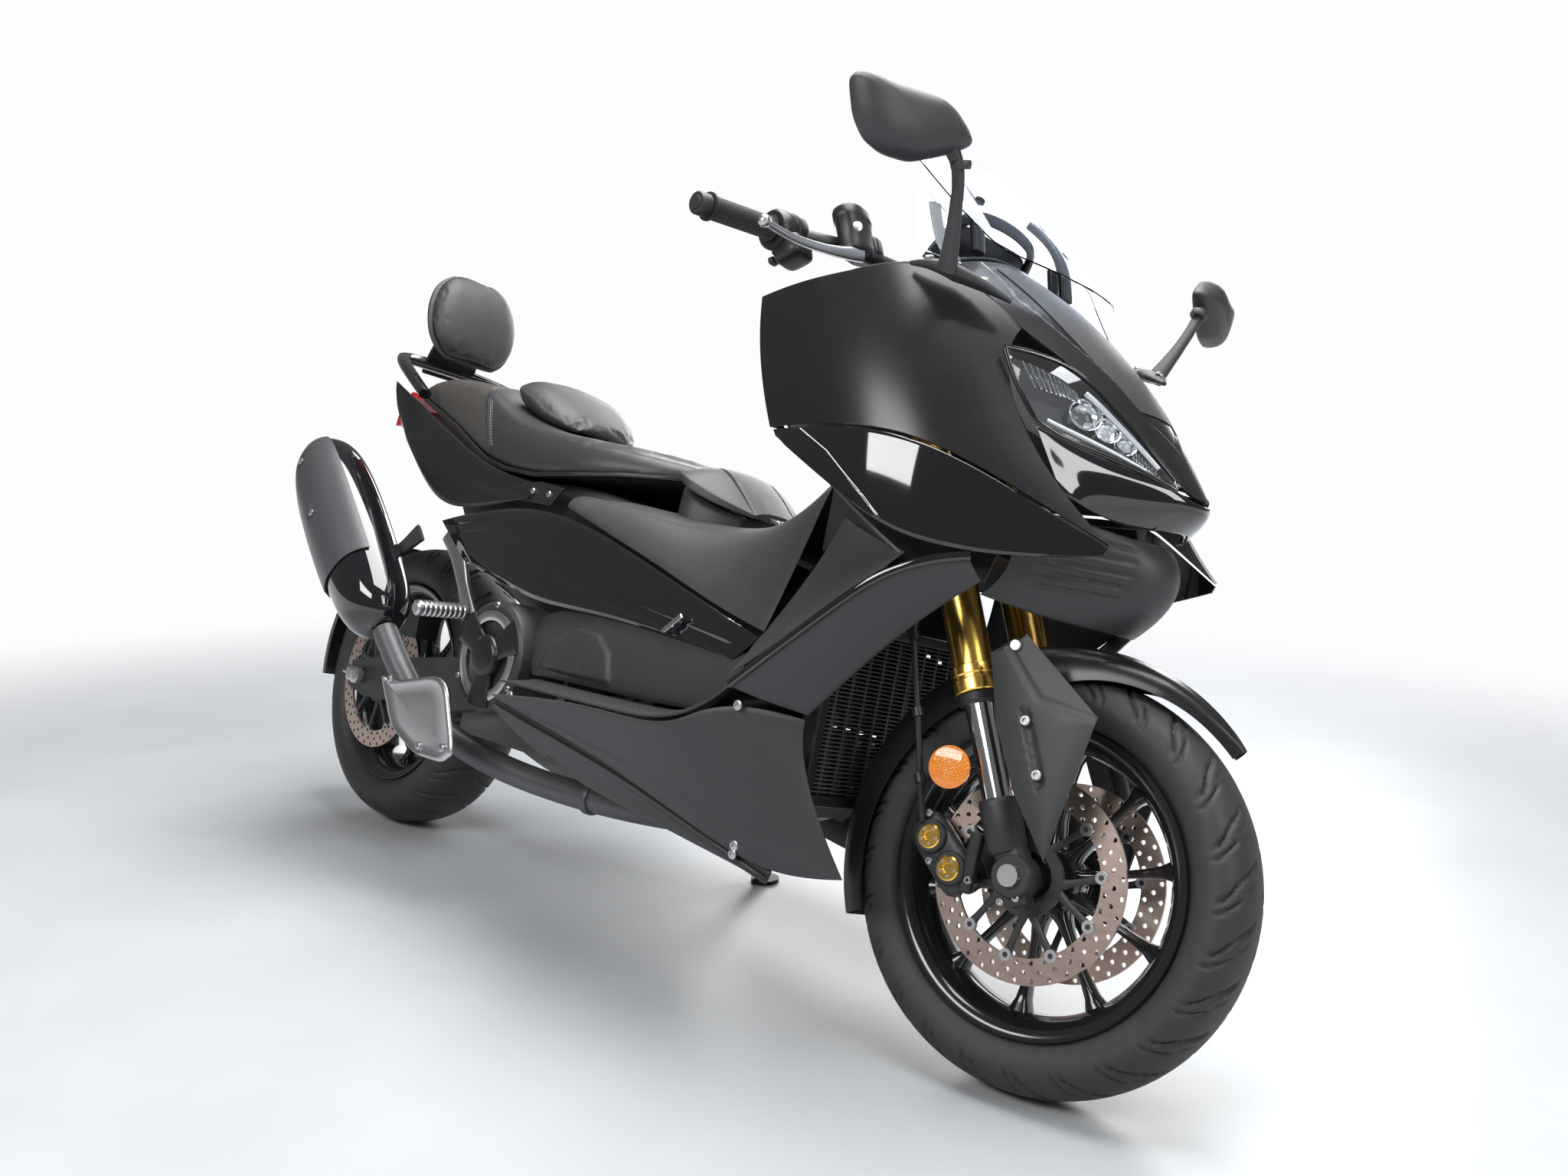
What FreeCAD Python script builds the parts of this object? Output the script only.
import FreeCAD, Part
import math
import os

# Maxi scooter, built as an assembly of its real pieces.
#
# Every piece is drawn on an upright machine: rear axle over X = 0, +X forward, +Y to the
# rider's left, +Z up, floor at Z = 0.  At the end one placement parks the machine: the
# steered pieces turn about the steering axis, the whole machine leans onto its side stand,
# and the frame moves to the middle of its own footprint.

os.makedirs("parts", exist_ok=True)

# ---------------------------------------------------------------- driving dimensions, mm
WHEELBASE = 1575.0
FRONT_TYRE_R, FRONT_TYRE_W = 274.5, 120.0
REAR_TYRE_R, REAR_TYRE_W = 286.5, 160.0
BEAD_R = 190.5                 # 15 inch rims, both wheels
FLANGE_R = 203.0
CASTER = 26.0                  # steering axis from the vertical, degrees
AXLE_OFFSET = 32.0             # front axle ahead of the steering axis
FORK_HALF = 99.7               # steering plane to a fork leg
DISC_T = 5.0
FRONT_DISC_R, FRONT_DISC_Y = 133.5, 66.0
REAR_DISC_R, REAR_DISC_Y = 141.0, 106.0
AXLE_R = 10.0
BORE_GAP = 0.05                # running clearance on an axle, radial
SKIN_T = 4.0                   # body panel thickness
LEAN = 14.0                    # parked lean to the left, degrees
STEER = 8.4                    # parked steering angle to the left, degrees
PITCH = 0.00174                # nose-down pitch of the leaning machine, radians

FRONT_AXLE = FreeCAD.Vector(WHEELBASE, 0, FRONT_TYRE_R)
REAR_AXLE = FreeCAD.Vector(0, 0, REAR_TYRE_R)
CASTER_RAD = math.radians(CASTER)
STEER_DIR = FreeCAD.Vector(-math.sin(CASTER_RAD), 0, math.cos(CASTER_RAD))
STEER_FWD = FreeCAD.Vector(math.cos(CASTER_RAD), 0, math.sin(CASTER_RAD))
STEER_FOOT = FRONT_AXLE - STEER_FWD * AXLE_OFFSET

STAND_PIVOT = FreeCAD.Vector(690, 140, 212)

SEAT_HINGE = FreeCAD.Vector(808, 0, 768)
SEAT_OPEN = 62.0
LID_HINGE = FreeCAD.Vector(968, 0, 702)
LID_OPEN = 100.0

nodes = {}                     # node name: shape on the upright machine
steered = set()                # nodes that turn with the handlebar


def vec(p):
    """A point or triple as a FreeCAD vector."""
    return FreeCAD.Vector(*p)


def keep(name, *shapes, turns=False):
    """Store a node made of one or more solids that don't touch."""
    nodes[name] = shapes[0] if len(shapes) == 1 else Part.makeCompound(list(shapes))
    if turns:
        steered.add(name)


def mirrored(shape):
    """The same piece on the other side of the machine."""
    return shape.mirror(FreeCAD.Vector(0, 0, 0), FreeCAD.Vector(0, 1, 0))


def pair(name, *shapes, turns=False):
    """Store right-hand pieces together with their left-hand twins."""
    keep(name, *shapes, *[mirrored(s) for s in shapes], turns=turns)


def on_fork(along, forward=0.0, side=0.0):
    """A point given along the steering axis from the axle's height, forward of it and sideways."""
    return STEER_FOOT + STEER_DIR * along + STEER_FWD * forward + FreeCAD.Vector(0, side, 0)


def solid_of(faces):
    """A closed solid from faces that share their edges."""
    shell = Part.makeShell(faces)
    shell.sewShape()
    solid = Part.makeSolid(shell)
    if solid.Volume < 0:
        solid.reverse()
    return solid


def clamped(count, degree):
    """Knots and multiplicities of a clamped uniform B-spline with this many poles."""
    spans = count - degree
    return list(range(spans + 1)), [degree + 1] + [1] * (spans - 1) + [degree + 1]


def skin(net):
    """A smooth surface from a net of control points, cubic where there are enough of them."""
    rows, cols = len(net), len(net[0])
    deg_u, deg_v = min(3, rows - 1), min(3, cols - 1)
    knots_u, mults_u = clamped(rows, deg_u)
    knots_v, mults_v = clamped(cols, deg_v)
    surface = Part.BSplineSurface()
    poles = [[vec(p) for p in row] for row in net]
    surface.buildFromPolesMultsKnots(
        poles, mults_u, mults_v, knots_u, knots_v, False, False, deg_u, deg_v
    )
    return surface


def net_normal(net, i, j):
    """The normal of a control net at one point, from its neighbours."""
    rows, cols = len(net), len(net[0])
    along = vec(net[min(i + 1, rows - 1)][j]) - vec(net[max(i - 1, 0)][j])
    across = vec(net[i][min(j + 1, cols - 1)]) - vec(net[i][max(j - 1, 0)])
    normal = along.cross(across)
    return normal.normalize() if normal.Length > 1e-6 else vec((0, -1, 0))


def panel(net, thickness=SKIN_T):
    """A panel of even thickness inside a control net whose rows run down and columns forward."""
    inner = [
        [
            tuple(vec(p) - net_normal(net, i, j) * thickness)
            for j, p in enumerate(row)
        ]
        for i, row in enumerate(net)
    ]
    out, back = skin(net), skin(inner)
    faces = [out.toShape(), back.toShape()]
    u0, u1, v0, v1 = out.bounds()
    for edge in ("u0", "u1", "v0", "v1"):
        at = {"u0": u0, "u1": u1, "v0": v0, "v1": v1}[edge]
        curves = [s.uIso(at) if edge[0] == "u" else s.vIso(at) for s in (out, back)]
        faces.append(Part.makeRuledSurface(curves[0].toShape(), curves[1].toShape()))
    return solid_of(faces)


def loop(points):
    """A smooth closed wire through points."""
    curve = Part.BSplineCurve()
    curve.interpolate([vec(p) for p in points], PeriodicFlag=True)
    return Part.Wire(curve.toShape())


def loft(sections):
    """A solid through closed sections, each a list of points in the same order."""
    return Part.makeLoft([loop(s) for s in sections], True, False)


def plate(outline, low, high, axis="y"):
    """A flat plate: an outline of points in XZ (or XY) pulled along Y (or Z)."""
    if axis == "y":
        points = [FreeCAD.Vector(x, low, z) for x, z in outline]
        pull = FreeCAD.Vector(0, high - low, 0)
    else:
        points = [FreeCAD.Vector(x, y, low) for x, y in outline]
        pull = FreeCAD.Vector(0, 0, high - low)
    return Part.Face(Part.makePolygon(points + points[:1])).extrude(pull)


def rod(start, end, radius):
    """A straight round bar between two points."""
    start, end = vec(start), vec(end)
    return Part.makeCylinder(radius, (end - start).Length, start, end - start)


def tube(points, radius, bend):
    """A round tube along straight runs joined by tangent arcs of one bend radius."""
    pts = [vec(p) for p in points]
    edges = []
    last = pts[0]
    for before, corner, after in zip(pts, pts[1:], pts[2:]):
        a = (before - corner).normalize()
        b = (after - corner).normalize()
        half = a.getAngle(b) / 2
        reach = bend / math.tan(half)
        start, end = corner + a * reach, corner + b * reach
        middle_dir = (a + b).normalize()
        centre = corner + middle_dir * (bend / math.sin(half))
        middle = centre - middle_dir * bend
        edges.append(Part.makeLine(last, start))
        edges.append(Part.Arc(start, middle, end).toShape())
        last = end
    edges.append(Part.makeLine(last, pts[-1]))
    path = Part.Wire(edges)
    ring = Part.Wire(Part.makeCircle(radius, pts[0], pts[1] - pts[0]))
    return path.makePipeShell([ring], True, False)


def turned(profile, centre):
    """A ring about the axle line through a centre, from (side, radius) points."""
    points = [centre + FreeCAD.Vector(0, y, r) for y, r in profile]
    face = Part.Face(Part.makePolygon(points + points[:1]))
    return face.revolve(centre, FreeCAD.Vector(0, 1, 0), 360)


def box(low, high):
    """A block between two corners."""
    size = vec(high) - vec(low)
    return Part.makeBox(size.x, size.y, size.z, vec(low))


def knuckle(at, half, radius):
    """A hinge's round barrel across the machine."""
    return rod((at.x, -half, at.z), (at.x, half, at.z), radius)


def hinge_room(at, half, pin_radius):
    """The bore that a hinge pin runs in."""
    return knuckle(at, half, pin_radius + BORE_GAP)


def hinge_lugs(at, inner, pin_radius, wide, drop):
    """A hinge pin with the two upright lugs that hold it."""
    pin = knuckle(at, inner + wide, pin_radius)
    left = box((at.x - 6, inner, at.z - drop), (at.x + 6, inner + wide, at.z + 6))
    return [pin, left, mirrored(left)]


# ---------------------------------------------------------------- wheels and tyres
def tyre(centre, radius, width, rim_half):
    """A tyre section with a round crown, from bead to bead, turned about the axle."""
    half = width / 2
    side = [
        (rim_half - 6.5, BEAD_R),
        (rim_half - 6.5, FLANGE_R + 1),
        (rim_half + 1.5, FLANGE_R + 4),
        (half * 0.97, radius - half * 0.85),
        (half, radius - half * 0.6),
        (half * 0.9, radius - half * 0.32),
        (half * 0.62, radius - half * 0.11),
        (half * 0.3, radius - half * 0.022),
    ]
    crown = [centre + FreeCAD.Vector(0, y, r) for y, r in side[2:]]
    crown += [centre + FreeCAD.Vector(0, 0, radius)]
    crown += [centre + FreeCAD.Vector(0, -y, r) for y, r in reversed(side[2:])]
    curve = Part.BSplineCurve()
    curve.interpolate(crown)
    bead = [crown[-1]]
    bead += [centre + FreeCAD.Vector(0, -y, r) for y, r in (side[1], side[0])]
    bead += [centre + FreeCAD.Vector(0, y, r) for y, r in side[:2]]
    bead += [crown[0]]
    wire = Part.Wire([curve.toShape(), *Part.makePolygon(bead).Edges])
    return Part.Face(wire).revolve(centre, FreeCAD.Vector(0, 1, 0), 360)


def rim(centre, half, hub_half, hub_r, spoke_w, spoke_y):
    """A cast wheel: barrel with flanges, ten spokes in an even star, and a bored hub."""
    barrel = turned(
        [
            (-half, FLANGE_R), (-half + 5, FLANGE_R), (-half + 6.4, BEAD_R - 0.1),
            (half - 6.4, BEAD_R - 0.1), (half - 5, FLANGE_R), (half, FLANGE_R),
            (half, 184), (half - 12, 172), (-half + 12, 172), (-half, 184),
        ],
        centre,
    )
    hub = Part.makeCylinder(hub_r, 2 * hub_half, centre - FreeCAD.Vector(0, hub_half, 0), vec((0, 1, 0)))
    wheel = barrel.fuse(hub)
    spokes = []
    for k in range(10):
        blank = box((-spoke_w / 2, -spoke_y, hub_r - 6), (spoke_w / 2, spoke_y, 176))
        blank.rotate(vec((0, 0, 0)), vec((0, 1, 0)), 36.0 * k + 18.0)
        blank.translate(centre)
        spokes.append(blank)
    wheel = wheel.fuse(spokes).removeSplitter()
    bore = Part.makeCylinder(AXLE_R + BORE_GAP, 400, centre - FreeCAD.Vector(0, 200, 0), vec((0, 1, 0)))
    return wheel.cut(bore)


def disc(centre, side, outer, inner, hub_r):
    """A brake disc on its carrier: a drilled ring, five arms and a bolted hub ring."""
    y = side - DISC_T / 2
    ring = turned([(y, outer), (y + DISC_T, outer), (y + DISC_T, inner), (y, inner)], centre)
    hub = turned([(y, hub_r + 16), (y + DISC_T, hub_r + 16), (y + DISC_T, hub_r), (y, hub_r)], centre)
    arms = []
    for k in range(5):
        arm = box((-9, y, hub_r + 8), (9, y + DISC_T, inner + 4))
        arm.rotate(vec((0, 0, 0)), vec((0, 1, 0)), 72.0 * k)
        arm.translate(FreeCAD.Vector(centre.x, 0, centre.z))
        arms.append(arm)
    return ring.fuse(arms + [hub]).removeSplitter()


keep("front_tyre", tyre(FRONT_AXLE, FRONT_TYRE_R, FRONT_TYRE_W, 51), turns=True)
keep("front_wheel", rim(FRONT_AXLE, 51, 60, 34, 20, 14), turns=True)
front_discs = [disc(FRONT_AXLE, s * FRONT_DISC_Y, FRONT_DISC_R, 98, 34.3) for s in (-1, 1)]
keep("front_discs", *front_discs, turns=True)
keep("rear_tyre", tyre(REAR_AXLE, REAR_TYRE_R, REAR_TYRE_W, 66))
keep("rear_wheel", rim(REAR_AXLE, 66, 98, 40, 26, 18))
keep("rear_disc", disc(REAR_AXLE, -REAR_DISC_Y, REAR_DISC_R, 105, 34))

# ---------------------------------------------------------------- fork and steering
LEG_AHEAD = 28.0               # fork legs ahead of the steering axis
LOWER_YOKE = 445.0
UPPER_YOKE = 640.0
GOLD_R = 27.0
CHROME_R = 20.5
GOLD_LOW = 245.0


def fork_leg(side, low, high, radius, ahead=LEG_AHEAD):
    """A round length of one fork leg between two heights along the steering axis."""
    return rod(on_fork(low, ahead, side), on_fork(high, ahead, side), radius)


def yoke(height, thick, reach):
    """A fork yoke: a plate across both legs, bored for them, on the steering stem."""
    outline = [(-FORK_HALF - 38, -10), (-FORK_HALF - 38, 62), (-30, 66), (30, 66),
               (FORK_HALF + 38, 62), (FORK_HALF + 38, -10), (30, -30), (-30, -30)]
    points = [on_fork(height, f + reach, s) for s, f in outline]
    slab = Part.Face(Part.makePolygon(points + points[:1])).extrude(STEER_DIR * thick)
    for side in (-FORK_HALF, FORK_HALF):
        slab = slab.cut(fork_leg(side, height - 5, height + thick + 5, GOLD_R))
    return slab


def outer_tube(side):
    """A gold upper tube with its collar, bored for the chrome tube."""
    collar = fork_leg(side, GOLD_LOW - 4, GOLD_LOW + 34, GOLD_R + 3)
    upper = fork_leg(side, GOLD_LOW, UPPER_YOKE + 30, GOLD_R).fuse(collar).removeSplitter()
    return upper.cut(fork_leg(side, GOLD_LOW - 10, UPPER_YOKE - 20, CHROME_R))


keep("fork_outer_tubes", outer_tube(-FORK_HALF), outer_tube(FORK_HALF), turns=True)
inner_tubes = [fork_leg(s, 62, UPPER_YOKE - 60, CHROME_R - 0.05) for s in (-FORK_HALF, FORK_HALF)]
keep("fork_inner_tubes", *inner_tubes, turns=True)


def caliper_lug(side):
    """The flat lug behind a fork foot that carries the radial caliper."""
    inner = side - 9 * math.copysign(1, side) - 7
    points = [on_fork(38, 6, inner), on_fork(38, -40, inner), on_fork(70, -40, inner), on_fork(70, 6, inner)]
    return Part.Face(Part.makePolygon(points + points[:1])).extrude(FreeCAD.Vector(0, 14, 0))


def axle_holder(side):
    """The foot of a fork leg: a socket round the chrome tube, and an eye round the axle."""
    socket = fork_leg(side, 30, 98, 26)
    eye = Part.makeCylinder(27, 34, FRONT_AXLE + FreeCAD.Vector(0, side - 17, 0), vec((0, 1, 0)))
    web_outline = [(70, 4), (70, 52), (10, AXLE_OFFSET + 24), (-12, AXLE_OFFSET + 18), (-12, 12), (30, 4)]
    web_points = [on_fork(a, f, side - 15) for a, f in web_outline]
    web = Part.Face(Part.makePolygon(web_points + web_points[:1])).extrude(FreeCAD.Vector(0, 30, 0))
    foot = socket.fuse([eye, web, caliper_lug(side)]).removeSplitter()
    foot = foot.cut(fork_leg(side, 61.9, 120, CHROME_R))
    return foot.cut(Part.makeCylinder(AXLE_R, 400, FRONT_AXLE - FreeCAD.Vector(0, 200, 0), vec((0, 1, 0))))


keep("axle_holders", axle_holder(-FORK_HALF), axle_holder(FORK_HALF), turns=True)

axle = Part.makeCylinder(AXLE_R, 250, FRONT_AXLE - FreeCAD.Vector(0, 125, 0), vec((0, 1, 0)))
for s in (-1, 1):
    start = FRONT_AXLE + FreeCAD.Vector(0, s * 60.5 if s > 0 else -82.5, 0)
    axle = axle.fuse(Part.makeCylinder(16, 22, start, vec((0, 1, 0))))
axle = axle.fuse(Part.makeCylinder(14, 8, FRONT_AXLE - FreeCAD.Vector(0, 125, 0), vec((0, 1, 0))))
keep("front_axle", axle.removeSplitter(), turns=True)

STEM_LOW, STEM_HIGH = LOWER_YOKE - 4, UPPER_YOKE + 40
stem = rod(on_fork(STEM_LOW), on_fork(STEM_HIGH), 16)
yokes = yoke(LOWER_YOKE, 36, 0).fuse([yoke(UPPER_YOKE, 24, 0), stem]).removeSplitter()
keep("fork_yokes", yokes, turns=True)


def caliper(side):
    """A brake caliper: two halves over the disc behind the fork leg, in one block with a slot."""
    sign = math.copysign(1, side)
    centre = on_fork(52, -68)
    y_out, y_in = sign * 96, sign * 44
    body = box((-58, min(y_out, y_in), -24), (58, max(y_out, y_in), 30))
    body = body.makeFillet(9, body.Edges)
    body.rotate(vec((0, 0, 0)), vec((0, 1, 0)), -68)
    body.translate(FreeCAD.Vector(centre.x, 0, centre.z))
    gap_at = FRONT_AXLE + FreeCAD.Vector(0, sign * FRONT_DISC_Y - 4.5, 0)
    gap = Part.makeCylinder(FRONT_DISC_R + 6, 9, gap_at, vec((0, 1, 0)))
    return body.cut([gap, caliper_lug(sign * FORK_HALF), fork_leg(sign * FORK_HALF, 20, 110, 26)])


keep("front_calipers", caliper(-1), caliper(1), turns=True)


def arc_band(centre, radius, start, end, sections):
    """Sections of a mudguard about an axle: (side, drop) profiles placed at even angles."""
    out = []
    count = len(sections)
    for k, profile in enumerate(sections):
        angle = math.radians(start + (end - start) * k / (count - 1))
        ray = FreeCAD.Vector(math.cos(angle), 0, math.sin(angle))
        out.append([tuple(centre + ray * (radius + r) + FreeCAD.Vector(0, s, 0)) for s, r in profile])
    return out


def guard_profile(half, crown):
    """Half-width and drop of a mudguard's cross-section, left edge to right edge."""
    drop = 34 * min(1, half / 66) ** 3
    right = [(half, -drop), (half, -drop * 0.4), (half * 0.7, crown * 0.75)]
    return right + [(0, crown)] + [(-y, r) for y, r in reversed(right)]


FENDER = ((8, 17), (40, 18), (60, 17), (66, 13), (66, 10), (66, 8), (64, 5), (60, 3))
fender_net = arc_band(FRONT_AXLE, 290, 46, 204, [guard_profile(half, crown) for half, crown in FENDER])
keep("front_fender", panel(fender_net, -3.5), turns=True)

# brace plates that carry the mudguard from the fork feet
guard_outline = [(281, 74), (286, 129), (159, 196), (4, 88), (101, 66), (187, 62)]
guard_points = [on_fork(a, f, -FORK_HALF - 33) for a, f in guard_outline]
fork_guard = Part.Face(Part.makePolygon(guard_points + guard_points[:1])).extrude(FreeCAD.Vector(0, -4, 0))
pair("fork_guards", fork_guard, turns=True)

# ---------------------------------------------------------------- handlebar
BAR_R = 11.1
GRIP_R = 17.0
BAR_POINTS = [(930, 8, 0), (930, 8, -62), (945, -26, -150), (961, -86, -240), (951, -112, -368)]
GRIP_START, GRIP_END = 0.08, 1.0       # parts of the bar's last stretch
GRIP_MIDDLE = (GRIP_START + GRIP_END) / 2


def bar_tube(radius):
    """The right half of the bent bar, at a given radius."""
    return tube([on_fork(a, f, s) for a, f, s in BAR_POINTS], radius, 40)


bar_half = bar_tube(BAR_R)
bar = bar_half.fuse(mirrored(bar_half))
riser = rod(on_fork(STEM_HIGH + 0.5), on_fork(905), 24)
clamp_block = [on_fork(900, -18, -34), on_fork(900, 30, -34), on_fork(946, 30, -34), on_fork(946, -18, -34)]
clamp = Part.Face(Part.makePolygon(clamp_block + clamp_block[:1])).extrude(FreeCAD.Vector(0, 68, 0))
keep("handlebar", bar.fuse([riser, clamp]).removeSplitter(), turns=True)


def along_bar(t):
    """A point on the right grip, 0 at its inner end and 1 at the bar's end."""
    inner, outer = (on_fork(a, f, s) for a, f, s in BAR_POINTS[-2:])
    return inner + (outer - inner) * t


def on_grip(low, high, outer, inner=BAR_R):
    """A sleeve round the right grip stretch of the bar."""
    bore = rod(along_bar(low - 0.1), along_bar(high + 0.1), inner)
    return rod(along_bar(low), along_bar(high), outer).cut(bore)


bar_end = rod(along_bar(GRIP_END), along_bar(1.2), GRIP_R - 2)
pair("grips", on_grip(GRIP_START, GRIP_END, GRIP_R).fuse(bar_end).removeSplitter(), turns=True)

switchbox = rod(along_bar(-0.34), along_bar(0.07), 29)
switchbox = switchbox.fuse(rod(on_fork(922, -66, -190), on_fork(922, -84, -238), 27))
switchbox = switchbox.removeSplitter().cut(bar_tube(BAR_R + 0.02))

reservoir = rod(on_fork(914, -4, -152), on_fork(984, -4, -152), 31)
master = rod(on_fork(924, 4, -112), on_fork(920, -6, -176), 13)
LEVER = [(908, -2, -168), (903, -14, -200), (902, -28, -262), (905, -40, -330)]
lever = tube([on_fork(a, f, s) for a, f, s in LEVER], 6.5, 60)
controls = reservoir.fuse([master, lever]).removeSplitter().cut([bar_tube(BAR_R + 0.02), switchbox])
pair("bar_controls", controls, switchbox, turns=True)

HOSE = [(430, 4, -128), (340, -34, -132), (235, -52, -124), (150, -70, -116), (96, -84, -104)]
pair("brake_hoses", tube([on_fork(a, f, s) for a, f, s in HOSE], 4.5, 60), turns=True)

# ---------------------------------------------------------------- body panels, right side
# Control nets: rows run down the panel, columns run forward, (x, y, z).
FAIRING = [
    [(1120, -284, 990), (1195, -290, 1008), (1275, -284, 1018),
     (1355, -262, 1042), (1425, -204, 1032), (1488, -162, 972)],
    [(1140, -296, 925), (1230, -304, 935), (1330, -300, 940),
     (1416, -278, 942), (1464, -230, 936), (1482, -210, 914)],
    [(1165, -298, 865), (1260, -306, 870), (1370, -304, 865),
     (1446, -276, 854), (1502, -222, 836), (1538, -184, 804)],
    [(1200, -296, 800), (1300, -304, 808), (1398, -302, 808),
     (1478, -262, 794), (1558, -198, 756), (1662, -140, 704)],
]
FRONT_SIDE = [
    [(1205, -296, 797), (1300, -304, 804), (1398, -302, 804),
     (1478, -262, 790), (1558, -198, 752), (1662, -140, 700)],
    [(1208, -297, 794), (1315, -306, 765), (1416, -304, 748),
     (1484, -262, 734), (1560, -196, 718), (1660, -141, 696)],
    [(1212, -297, 788), (1330, -303, 728), (1424, -298, 680),
     (1490, -252, 666), (1566, -190, 670), (1657, -142, 690)],
]
ARCH = [
    [(1222, -300, 442), (1300, -302, 503), (1390, -302, 575), (1460, -278, 642), (1520, -222, 660)],
    [(1262, -285, 432), (1335, -285, 480), (1416, -278, 546), (1474, -250, 606), (1526, -212, 644)],
    [(1318, -238, 424), (1384, -238, 490), (1442, -232, 550), (1488, -212, 600), (1530, -202, 634)],
]
LOWER = [
    [(722, -330, 345), (880, -332, 366), (1030, -332, 368),
     (1165, -325, 366), (1215, -304, 430), (1316, -240, 418)],
    [(735, -328, 342), (900, -318, 335), (1060, -305, 315),
     (1180, -285, 310), (1260, -265, 330), (1312, -240, 350)],
    [(745, -326, 338), (930, -290, 305), (1090, -250, 250),
     (1210, -218, 210), (1300, -205, 200), (1400, -205, 225)],
]
BELLY = [
    [(724, -324, 330), (860, -302, 304), (1000, -272, 278), (1140, -234, 228), (1262, -202, 192)],
    [(722, -305, 308), (860, -280, 275), (1000, -250, 250), (1130, -215, 212), (1250, -196, 188)],
    [(725, -265, 276), (800, -240, 236), (950, -210, 218), (1105, -190, 194), (1216, -188, 186)],
    [(735, -205, 268), (805, -195, 234), (950, -180, 217), (1105, -165, 196), (1216, -160, 190)],
]
SIDE = [
    [(268, -206, 618), (480, -211, 668), (700, -211, 662), (916, -220, 590), (1198, -242, 515)],
    [(320, -215, 590), (500, -226, 600), (690, -226, 580), (900, -232, 545), (1180, -245, 492)],
    [(380, -208, 545), (505, -226, 535), (650, -240, 488), (880, -241, 510), (1158, -246, 478)],
]
TAIL = [
    [(-130, -140, 905), (60, -165, 838), (200, -180, 790), (370, -192, 724), (540, -203, 705)],
    [(-80, -165, 850), (90, -182, 780), (250, -195, 725), (400, -203, 695), (545, -208, 692)],
    [(-20, -160, 790), (120, -185, 700), (262, -204, 627), (400, -208, 655), (535, -210, 676)],
]
# Half nets of the pieces that cross the middle: rows run outwards from the middle.
TUNNEL = [
    [(660, 0, 690), (760, 0, 695), (880, 0, 685), (1000, 0, 682), (1090, 0, 708), (1154, 0, 784)],
    [(650, -110, 702), (760, -115, 700), (880, -110, 684),
     (1000, -100, 685), (1090, -110, 706), (1156, -125, 778)],
    [(628, -186, 702), (760, -180, 698), (890, -180, 663),
     (1020, -175, 640), (1130, -175, 660), (1222, -184, 712)],
    [(643, -200, 671), (796, -210, 629), (916, -215, 599),
     (1016, -220, 567), (1125, -233, 540), (1212, -246, 524)],
]
SHIELD = [
    [(1146, 0, 950), (1148, 0, 900), (1152, 0, 850), (1156, 0, 800)],
    [(1140, -130, 960), (1142, -130, 905), (1148, -130, 850), (1158, -132, 796)],
    [(1132, -240, 980), (1146, -236, 905), (1172, -222, 820), (1236, -190, 722)],
    [(1117, -280, 988), (1145, -292, 890), (1190, -290, 792), (1464, -287, 652)],
]
SHIELD_LOW = [
    [(1268, -188, 700), (1330, -200, 676), (1466, -286, 653)],
    [(1255, -215, 610), (1290, -222, 595), (1368, -293, 568)],
    [(1195, -246, 500), (1200, -260, 486), (1210, -294, 458)],
]
FLOOR = [
    [(700, -236, 380), (860, -236, 382), (1020, -236, 384), (1140, -236, 392), (1190, -246, 462)],
    [(712, -280, 374), (870, -280, 374), (1025, -280, 374), (1150, -275, 384), (1200, -270, 455)],
    [(726, -322, 372), (880, -324, 372), (1030, -324, 374), (1160, -316, 378), (1212, -296, 440)],
]
NOSE = [
    [(1345, 0, 1112), (1440, 0, 1062), (1520, 0, 1000), (1600, 0, 928), (1660, 0, 850), (1700, 0, 790)],
    [(1345, -60, 1106), (1437, -60, 1056), (1518, -58, 992),
     (1594, -50, 920), (1652, -40, 844), (1694, -28, 790)],
    [(1352, -150, 1072), (1422, -184, 1026), (1484, -156, 968),
     (1548, -106, 936), (1626, -60, 862), (1678, -32, 804)],
]
LAMP = [
    [(1495, -199, 937), (1518, -150, 941), (1552, -108, 930),
     (1592, -82, 888), (1636, -56, 846), (1672, -34, 806)],
    [(1509, -190, 895), (1536, -160, 889), (1570, -122, 880),
     (1608, -88, 852), (1646, -60, 826), (1676, -38, 800)],
    [(1543, -172, 850), (1560, -155, 837), (1584, -128, 828),
     (1618, -94, 820), (1652, -64, 809), (1682, -40, 793)],
]
CHIN = [
    [(1550, -176, 841), (1588, -130, 822), (1622, -94, 814),
     (1660, -62, 803), (1692, -34, 788), (1702, 0, 783)],
    [(1570, -168, 802), (1612, -126, 788), (1650, -94, 778),
     (1682, -62, 773), (1704, -30, 771), (1711, 0, 772)],
    [(1590, -156, 764), (1604, -120, 750), (1622, -88, 741),
     (1644, -58, 737), (1666, -28, 741), (1678, 0, 746)],
]
UNDER = [
    [(1530, -160, 739), (1578, -116, 740), (1614, -78, 732), (1642, -44, 728), (1656, 0, 729)],
    [(1538, -152, 696), (1592, -112, 696), (1642, -70, 695), (1684, -40, 693), (1700, 0, 692)],
    [(1534, -145, 654), (1590, -102, 650), (1638, -64, 647), (1674, -36, 647), (1686, 0, 648)],
    [(1488, -145, 622), (1542, -106, 610), (1582, -78, 605), (1612, -38, 603), (1622, 0, 603)],
]
SCREEN = [
    [(1252, -160, 1226), (1262, -112, 1246), (1268, -56, 1256), (1270, 0, 1258)],
    [(1318, -166, 1170), (1338, -116, 1184), (1350, -58, 1192), (1354, 0, 1194)],
    [(1382, -158, 1112), (1408, -112, 1122), (1424, -56, 1128), (1430, 0, 1130)],
    [(1420, -138, 1088), (1452, -98, 1080), (1468, -50, 1076), (1474, 0, 1075)],
]
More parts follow.
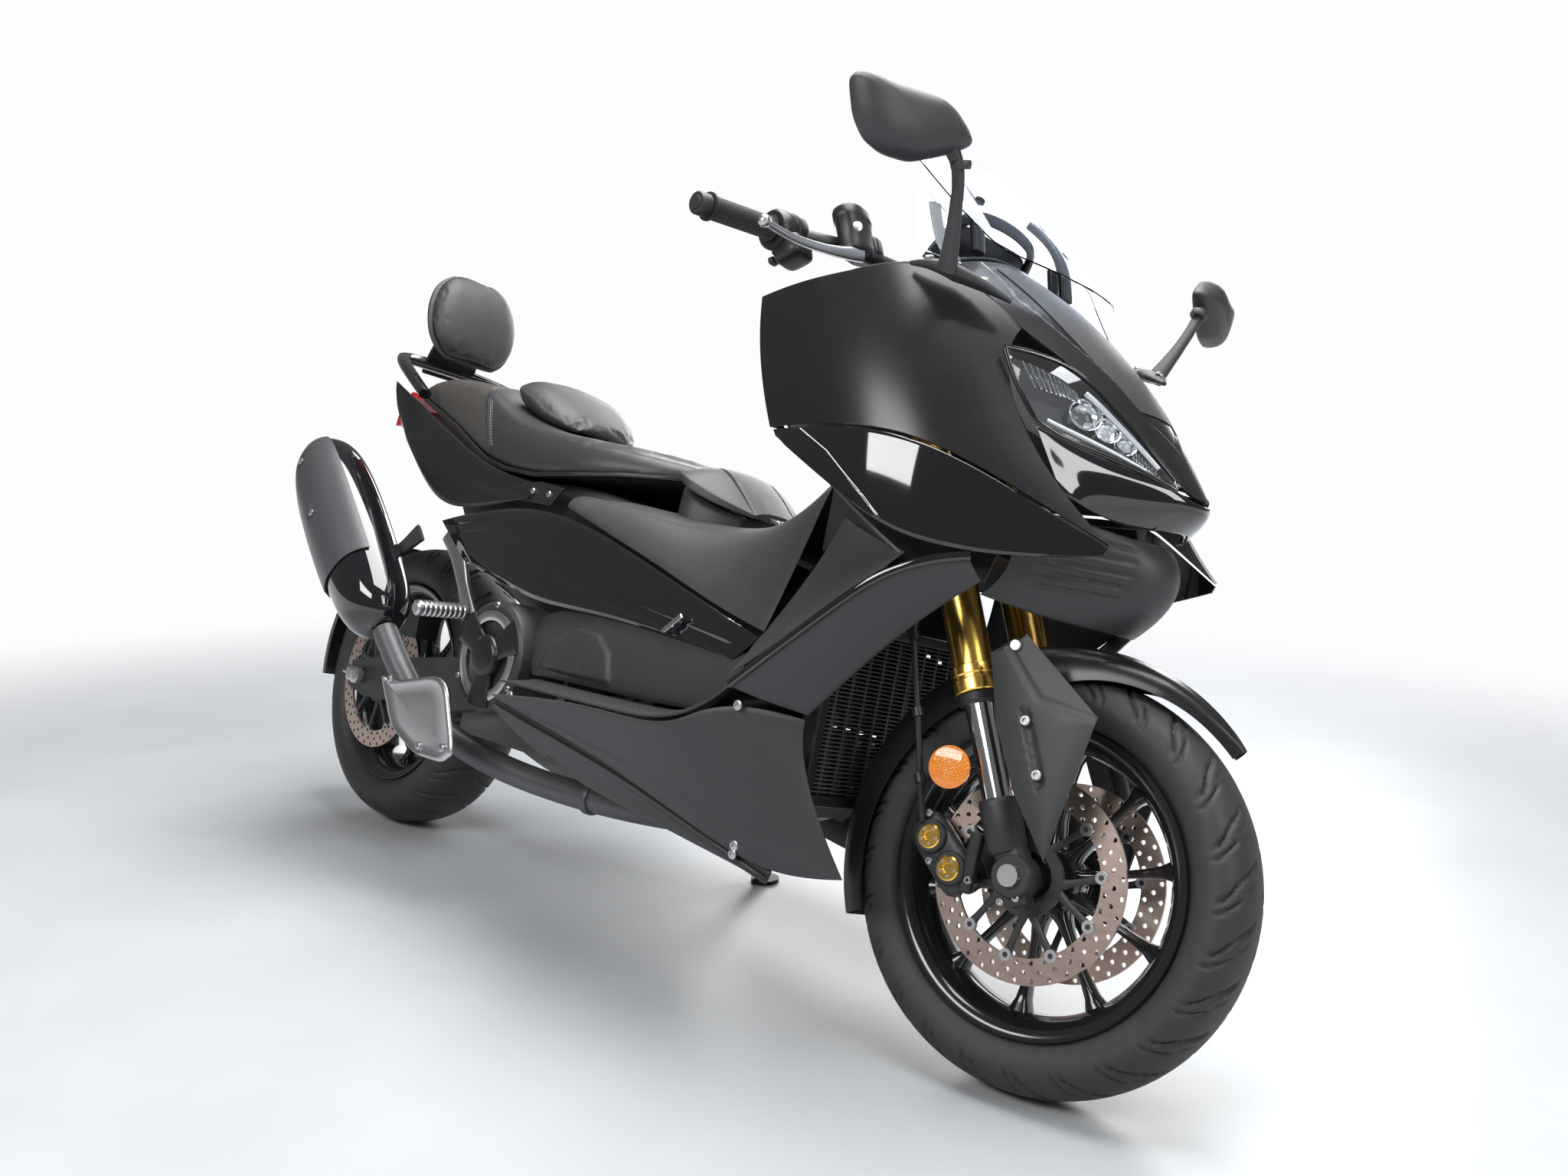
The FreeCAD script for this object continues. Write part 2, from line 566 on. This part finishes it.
DASH = [
    [(1228, 0, 1052), (1240, 0, 1090), (1285, 0, 1112), (1336, 0, 1116)],
    [(1228, -80, 1050), (1240, -80, 1088), (1285, -80, 1110), (1336, -70, 1112)],
    [(1222, -150, 1042), (1236, -150, 1072), (1285, -150, 1090), (1342, -140, 1080)],
    [(1205, -262, 1014), (1240, -255, 1032), (1290, -240, 1050), (1345, -215, 1050)],
]


def across(half):
    """Rows of a half net carried over the middle: left side first, so the skin is one piece."""
    left = [[(x, -y, z) for x, y, z in row] for row in reversed(half[1:])]
    return left + half


def around(half):
    """Columns of a half net carried round the front, from the right side to the left."""
    return [row + [(x, -y, z) for x, y, z in reversed(row[:-1])] for row in half]


pair("side_fairings", panel(FAIRING))
pair("front_side_panels", panel(FRONT_SIDE))
pair("lower_fairings", panel(ARCH), panel(LOWER), panel(BELLY))
pair("body_side_panels", panel(SIDE))
pair("tail_panels", panel(TAIL))
pair("footboards", panel(FLOOR))
pair("headlamps", panel(LAMP, 7))
tunnel = panel(across(TUNNEL))
tunnel_hinges = hinge_lugs(SEAT_HINGE, 24, 4, 5, 76) + hinge_lugs(LID_HINGE, 15, 3, 5, 19)
keep("tunnel_cover", tunnel.fuse(tunnel_hinges).removeSplitter())
knee = panel(SHIELD_LOW)
keep("leg_shield", panel(across(SHIELD)), knee, mirrored(knee))
keep("nose_cowl", panel(across(NOSE)), panel(around(CHIN)))
keep("under_cowl", panel(around(UNDER)))
keep("windscreen", panel(around(SCREEN), 3))
keep("dash_cover", panel(across(DASH)))

# ---------------------------------------------------------------- seat and pads
def seat_section(x, half, top, bottom, crown):
    """One crowned cross-section of the seat, from its half-width, two heights and its crown."""
    tall = top - bottom
    right = [(-half * 0.8, bottom), (-half, bottom + tall * 0.2), (-half * 0.94, top - tall * 0.25),
             (-half * 0.6, top - 3)]
    left = [(-y, z) for y, z in reversed(right)]
    return [(x, y, z) for y, z in [(0, bottom)] + right + [(0, top + crown)] + left]


SEAT_SECTIONS = [
    (-95, 92, 915, 892, 4), (-40, 118, 922, 872, 8), (60, 146, 918, 846, 8),
    (170, 164, 906, 812, 6), (250, 172, 888, 778, 0),
    (320, 178, 852, 750, -6), (400, 182, 824, 733, -6), (500, 186, 808, 726, -4), (600, 184, 800, 732, 0),
    (700, 150, 794, 744, 0), (765, 104, 788, 752, 0), (798, 60, 782, 758, 0),
]
seat_base = loft([seat_section(*s) for s in SEAT_SECTIONS])
seat_arm = box((780, -20, SEAT_HINGE.z - 4), (SEAT_HINGE.x, 20, SEAT_HINGE.z + 4))
seat_arm = seat_arm.fuse(knuckle(SEAT_HINGE, 22, 8))
keep("seat", seat_base.fuse(seat_arm).removeSplitter().cut(hinge_room(SEAT_HINGE, 30, 4)))

RIDER_PAD = ((262, 96, 898, 914), (285, 122, 874, 926), (325, 128, 853, 922), (375, 124, 836, 896),
             (425, 104, 824, 858), (450, 70, 820, 838))
pad = loft([
    [(x, 0, low), (x, -w * 0.85, low + 6), (x, -w, (low + top) / 2), (x, -w * 0.7, top - 6),
     (x, 0, top), (x, w * 0.7, top - 6), (x, w, (low + top) / 2), (x, w * 0.85, low + 6)]
    for x, w, low, top in RIDER_PAD
])
keep("rider_backrest", pad.cut(seat_base))

BACK_PAD = ((980, -92, 16, 62), (998, -94, 32, 98), (1050, -104, 38, 116), (1110, -118, 36, 110),
            (1148, -130, 28, 86), (1166, -138, 12, 50))
back_pad = loft([
    [(c - t, 0, z), (c - t * 0.9, -w * 0.8, z), (c - t * 0.2, -w, z), (c + t * 0.9, -w * 0.8, z),
     (c + t, 0, z), (c + t * 0.9, w * 0.8, z), (c - t * 0.2, w, z), (c - t * 0.9, w * 0.8, z)]
    for z, c, t, w in BACK_PAD
])
post = box((-160, -46, 950), (-146, 46, 1060)).fuse(box((-160, -46, 950), (-100, 46, 958)))
keep("passenger_backrest", back_pad.cut(post))

CONSOLE = ((824, 126, 754, 778), (842, 128, 738, 786), (872, 116, 722, 774), (912, 90, 711, 742),
           (945, 56, 706, 718))
console = loft([
    [(x, 0, low), (x, -w * 0.9, low + 4), (x, -w, (low + top) / 2), (x, -w * 0.6, top - 5),
     (x, 0, top), (x, w * 0.6, top - 5), (x, w, (low + top) / 2), (x, w * 0.9, low + 4)]
    for x, w, low, top in CONSOLE
])
LID_HALF = 52.0
lid = console.common(box((800, -LID_HALF, 600), (1000, LID_HALF, 900)))
sides = [console.common(box((800, s, 600), (1000, s + 300, 900))) for s in (-LID_HALF - 305, LID_HALF + 5)]
lid_arm = box((945.5, -11, LID_HINGE.z + 1), (LID_HINGE.x, 11, LID_HINGE.z + 5))
lid_arm = lid_arm.fuse(knuckle(LID_HINGE, 13, 7))
keep("fuel_lid", lid, lid_arm.removeSplitter().cut(hinge_room(LID_HINGE, 20, 3)))
keep("console_pads", *sides)

# ---------------------------------------------------------------- rear: rails, tail, rack
RAIL_SIDE = [(64, -176, 866), (-20, -168, 908), (-104, -150, 946), (-200, -96, 972)]
rail = tube(RAIL_SIDE + [(x, -y, z) for x, y, z in reversed(RAIL_SIDE)], 13, 26)
rack_bar = rod((-130, -136, 953), (-130, 136, 953), 9)
keep("rear_rack", rail.fuse([rack_bar, post]).removeSplitter())
keep("tail_lamp", plate([(-138, 812), (-120, 890), (-96, 884), (-100, 812)], -110, 110))
keep("rear_mudguard", panel(arc_band(REAR_AXLE, 302, 118, 186, [guard_profile(h, c) for h, c in
                            ((84, 6), (90, 8), (92, 8), (90, 8), (86, 6))]), -4))

# ---------------------------------------------------------------- chassis, engine, drive
head_tube = rod(on_fork(487), on_fork(634), 30).cut(rod(on_fork(480), on_fork(640), 16.05))
spar_points = [(1228, -34, 742), (1180, -100, 640), (1060, -150, 470), (780, -160, 340), (704, -150, 340)]
spar = tube(spar_points, 17, 60)
bridge = rod((1228, -40, 742), (1228, 40, 742), 22)
down_points = [(1228, -30, 700), (1190, -70, 560), (1190, -90, 330), (1100, -110, 262)]
down = tube(down_points, 15, 50)
gusset = box((1215, -24, 680), (1262, 24, 780))
engine_bar = rod((716, -150, 340), (716, 150, 340), 14)
engine_lugs = [box((690, y - 10, 326), (716, y + 10, 354)) for y in (-90, 90)]
tubes = [spar, mirrored(spar), bridge, down, mirrored(down), engine_bar]
chassis = head_tube.fuse([*tubes, gusset, *engine_lugs]).removeSplitter()
keep("chassis", chassis.cut(rod(on_fork(480), on_fork(640), 16.05)))
rear_rail = tube([(640, -80, 400), (420, -112, 560), (180, -124, 700), (-60, -104, 800)], 14, 80)
cross = rod((-60, -104, 800), (-60, 104, 800), 12)
keep("rear_subframe", rear_rail.fuse([mirrored(rear_rail), cross]).removeSplitter())
case_right = box((470, -160, 300), (690, -110, 470))
case_left = box((470, 110, 300), (690, 150, 450))
stand_lug = box((650, 98, 190), (730, 114, 300))
block = box((330, -115, 236), (690, 115, 386)).fuse([case_right, case_left, stand_lug]).removeSplitter()

arm_outline = [(-50, 262), (-50, 312), (20, 326), (330, 372), (462, 372), (462, 300), (330, 268), (20, 248)]
arm_r = plate(arm_outline, -150, -126)
arm_l = plate(arm_outline, 126, 150)
axle_bore = Part.makeCylinder(AXLE_R, 500, FreeCAD.Vector(0, -250, REAR_TYRE_R), vec((0, 1, 0)))
pivot = rod((430, -126, 336), (430, -115, 336), 24), rod((430, 115, 336), (430, 126, 336), 24)
arms = [arm.fuse(boss).removeSplitter().cut(axle_bore) for arm, boss in zip((arm_r, arm_l), pivot)]
keep("swingarm", *arms)
rear_axle = Part.makeCylinder(AXLE_R, 330, FreeCAD.Vector(0, -165, REAR_TYRE_R), vec((0, 1, 0)))
for y, w in ((-125.9, 12.9), (98.5, 27.4), (150.1, 12)):
    rear_axle = rear_axle.fuse(Part.makeCylinder(17, w, FreeCAD.Vector(0, y, REAR_TYRE_R), vec((0, 1, 0))))
keep("rear_axle", rear_axle.removeSplitter())
rear_caliper = box((40, -132, 385), (140, -84, 445))
rear_gap_at = FreeCAD.Vector(0, -REAR_DISC_Y - 5, REAR_TYRE_R)
keep("rear_caliper", rear_caliper.cut(Part.makeCylinder(REAR_DISC_R + 6, 10, rear_gap_at, vec((0, 1, 0)))))

CLUTCH = FreeCAD.Vector(585, -160.5, 397)
clutch = Part.makeCylinder(96, 100, CLUTCH, vec((0, -1, 0)))
keep("clutch_cover", clutch.makeFillet(10, clutch.Edges[:1]))
BELT_COVER = [(-40, 290), (0, 340), (300, 400), (560, 440), (640, 400), (560, 300), (300, 262), (0, 240)]
keep("belt_cover", plate(BELT_COVER, 166, 182))

# ---------------------------------------------------------------- exhaust
MUFFLER = [
    ((232, -258, 402), 50), ((214, -260, 420), 70), ((120, -262, 500), 78), ((-40, -262, 640), 76),
    ((-116, -262, 704), 62), ((-130, -262, 716), 36),
]
MUFFLER_DIR = (vec(MUFFLER[-1][0]) - vec(MUFFLER[0][0])).normalize()


def canister(extra):
    """The muffler's body, grown by an extra radius."""
    rings = [Part.Wire(Part.makeCircle(r + extra, vec(c), MUFFLER_DIR)) for c, r in MUFFLER]
    return Part.makeLoft(rings, True, False)


keep("muffler", canister(0))
pipe_points = [(1110, -60, 236), (930, -100, 205), (640, -128, 190), (440, -205, 225), (340, -240, 290),
               (238, -257, 397)]
keep("exhaust_pipe", tube(pipe_points, 24, 40))
heat_shield = canister(8).cut(canister(1)).common(box((-120, -400, 470), (190, -275, 760)))
guard_plate = [(313, 321), (335, 310), (521, 352), (592, 229), (560, 207), (478, 205), (382, 237)]
keep("exhaust_guards", heat_shield, plate(guard_plate, -290, -284))

# ---------------------------------------------------------------- pegs, mirrors, radiator
peg_bracket = plate([(250, 600), (330, 600), (420, 470), (400, 440), (300, 520)], -196, -188)
peg = rod((400, -196, 460), (400, -300, 452), 14)
pair("passenger_pegs", peg_bracket.fuse(peg).removeSplitter())
mirror_arm = tube([(1425, -256, 1012), (1442, -280, 1050), (1461, -312, 1142), (1448, -334, 1160)], 9, 18)
mirror_foot = rod((1412, -222, 1000), (1427, -262, 1015), 17).cut(panel(FAIRING, 20))
HEAD = [(-470, 1186), (-460, 1200), (-430, 1196), (-350, 1206), (-325, 1196), (-300, 1177), (-292, 1166),
        (-312, 1151), (-350, 1128), (-370, 1118), (-410, 1115), (-435, 1123), (-455, 1144)]
HEAD_SLANT = 0.29              # the glass turns in towards the rider
head_dir = vec((1, -HEAD_SLANT, 0)).normalize()


def head_section(scale, forward):
    """The mirror head's outline shrunk about its middle and moved off the glass."""
    points = [vec((1400 + (y + 470) * HEAD_SLANT, y, z)) for y, z in HEAD]
    middle = vec((1424, -380, 1160))
    return [tuple(middle + (p - middle) * scale + head_dir * forward) for p in points]


head = loft([head_section(s, f) for s, f in ((0.94, 0), (0.97, 6), (0.88, 22), (0.6, 36))])
pair("mirrors", mirror_arm.fuse([head, mirror_foot]).removeSplitter())
keep("radiator", box((1236, -150, 300), (1262, 150, 560)))


# ---------------------------------------------------------------- side stand
def lean_matrix():
    """The parked lean to the left, with the slight pitch that puts both tyres on the floor."""
    matrix = FreeCAD.Matrix()
    matrix.rotateX(-math.radians(LEAN))
    matrix.rotateY(PITCH)
    return matrix


steer_rotation = FreeCAD.Placement(
    FreeCAD.Vector(0, 0, 0), FreeCAD.Rotation(STEER_DIR, STEER), STEER_FOOT
)


def settle(shape, name):
    """A piece as parked, before the last shift: steered if it turns with the bar, then leant."""
    shape = shape.copy()
    if name in steered:
        shape.rotate(STEER_FOOT, STEER_DIR, STEER)
    shape.transformShape(lean_matrix())
    return shape


def lowest(shape):
    """The lowest height of a shape."""
    return shape.optimalBoundingBox(False).ZMin


rear_low = lowest(settle(nodes["rear_tyre"], "rear_tyre"))
front_low = lowest(settle(nodes["front_tyre"], "front_tyre"))
print("tyre lows", round(rear_low, 3), round(front_low, 3))


# the stand's foot is a flat plate on the floor, drawn as parked and turned back upright
lift = -min(rear_low, front_low)
unlean = lean_matrix().inverse()
FOOT_AT = FreeCAD.Vector(780, 318, 0)
foot_plate = Part.makeCylinder(26, 7, FOOT_AT - FreeCAD.Vector(0, 0, lift), vec((0, 0, 1)))
foot_plate.transformShape(unlean)
foot_top = unlean.multVec(FOOT_AT + FreeCAD.Vector(0, 0, 5 - lift))
leg_dir = (foot_top - STAND_PIVOT).normalize()
fold_dir = FreeCAD.Vector(-1, 0.12, 0.04).normalize()
STAND_AXIS = leg_dir.cross(fold_dir).normalize()
stand_travel = math.degrees(leg_dir.getAngle(fold_dir))

PIN_R = 6.0
leg = Part.makeCylinder(11, (foot_top - STAND_PIVOT).Length - 12, STAND_PIVOT + leg_dir * 12, leg_dir)
eye = Part.makeCylinder(17, 14, STAND_PIVOT - STAND_AXIS * 7, STAND_AXIS)
pin_room = Part.makeCylinder(PIN_R + BORE_GAP, 60, STAND_PIVOT - STAND_AXIS * 30, STAND_AXIS)
keep("side_stand", leg.fuse([foot_plate, eye]).removeSplitter().cut(pin_room))
pin = Part.makeCylinder(PIN_R, 46, STAND_PIVOT - STAND_AXIS * 36, STAND_AXIS)
pin = pin.fuse(Part.makeCylinder(11, 5, STAND_PIVOT + STAND_AXIS * 7.5, STAND_AXIS))
keep("engine", block.fuse(pin).removeSplitter())

# ---------------------------------------------------------------- park it and write the files
placed = {name: settle(shape, name) for name, shape in nodes.items()}
whole = FreeCAD.BoundBox()
for name, shape in placed.items():
    whole.add(shape.optimalBoundingBox(False))
SHIFT = FreeCAD.Vector(-(whole.XMin + whole.XMax) / 2, -(whole.YMin + whole.YMax) / 2, lift)


def reflected(v):
    """A point or direction on the other side of the machine."""
    return FreeCAD.Vector(v.x, -v.y, v.z)


def parked_point(point, turns=False):
    """A point of the upright machine where it stands parked."""
    if turns:
        point = steer_rotation.multVec(point)
    return lean_matrix().multVec(point) + SHIFT


def parked_dir(direction, turns=False):
    """A direction of the upright machine as parked."""
    if turns:
        direction = steer_rotation.Rotation.multVec(direction)
    return lean_matrix().multVec(direction)


for name, shape in placed.items():
    shape.translate(SHIFT)
    if not shape.isValid():
        print("INVALID", name)
    for solid in shape.Solids:
        if solid.Volume < 0:
            print("INSIDE OUT", name)
    shape.exportStep(f"parts/{name}.step")

print("nodes", len(placed), "box", [round(v, 1) for v in (whole.XLength, whole.YLength, whole.ZLength)])
print("volume litres", round(sum(s.Volume for s in placed.values()) / 1e6, 2))
grip_length = (along_bar(GRIP_END) - along_bar(GRIP_START)).Length
print("stand travel", round(stand_travel, 1), "grip length", round(grip_length, 2))
for label, point, direction, turns in (
    ("front wheel", FRONT_AXLE, FreeCAD.Vector(0, 1, 0), True),
    ("rear wheel", REAR_AXLE, FreeCAD.Vector(0, 1, 0), False),
    ("steering", STEER_FOOT, STEER_DIR, False),
    ("side stand", STAND_PIVOT, STAND_AXIS, False),
    ("seat", SEAT_HINGE, FreeCAD.Vector(0, 1, 0), False),
    ("fuel lid", LID_HINGE, FreeCAD.Vector(0, 1, 0), False),
    ("right grip", along_bar(GRIP_MIDDLE), along_bar(1.0) - along_bar(0.0), True),
    ("left grip", reflected(along_bar(GRIP_MIDDLE)), reflected(along_bar(1.0) - along_bar(0.0)), True),
    ("rack rail", FreeCAD.Vector(-180, 0, 968), FreeCAD.Vector(0, 1, 0), False),
):
    at, along = parked_point(point, turns), parked_dir(direction, turns).normalize()
    print(label, [round(v / 1000, 6) for v in at], [round(v, 6) for v in along])
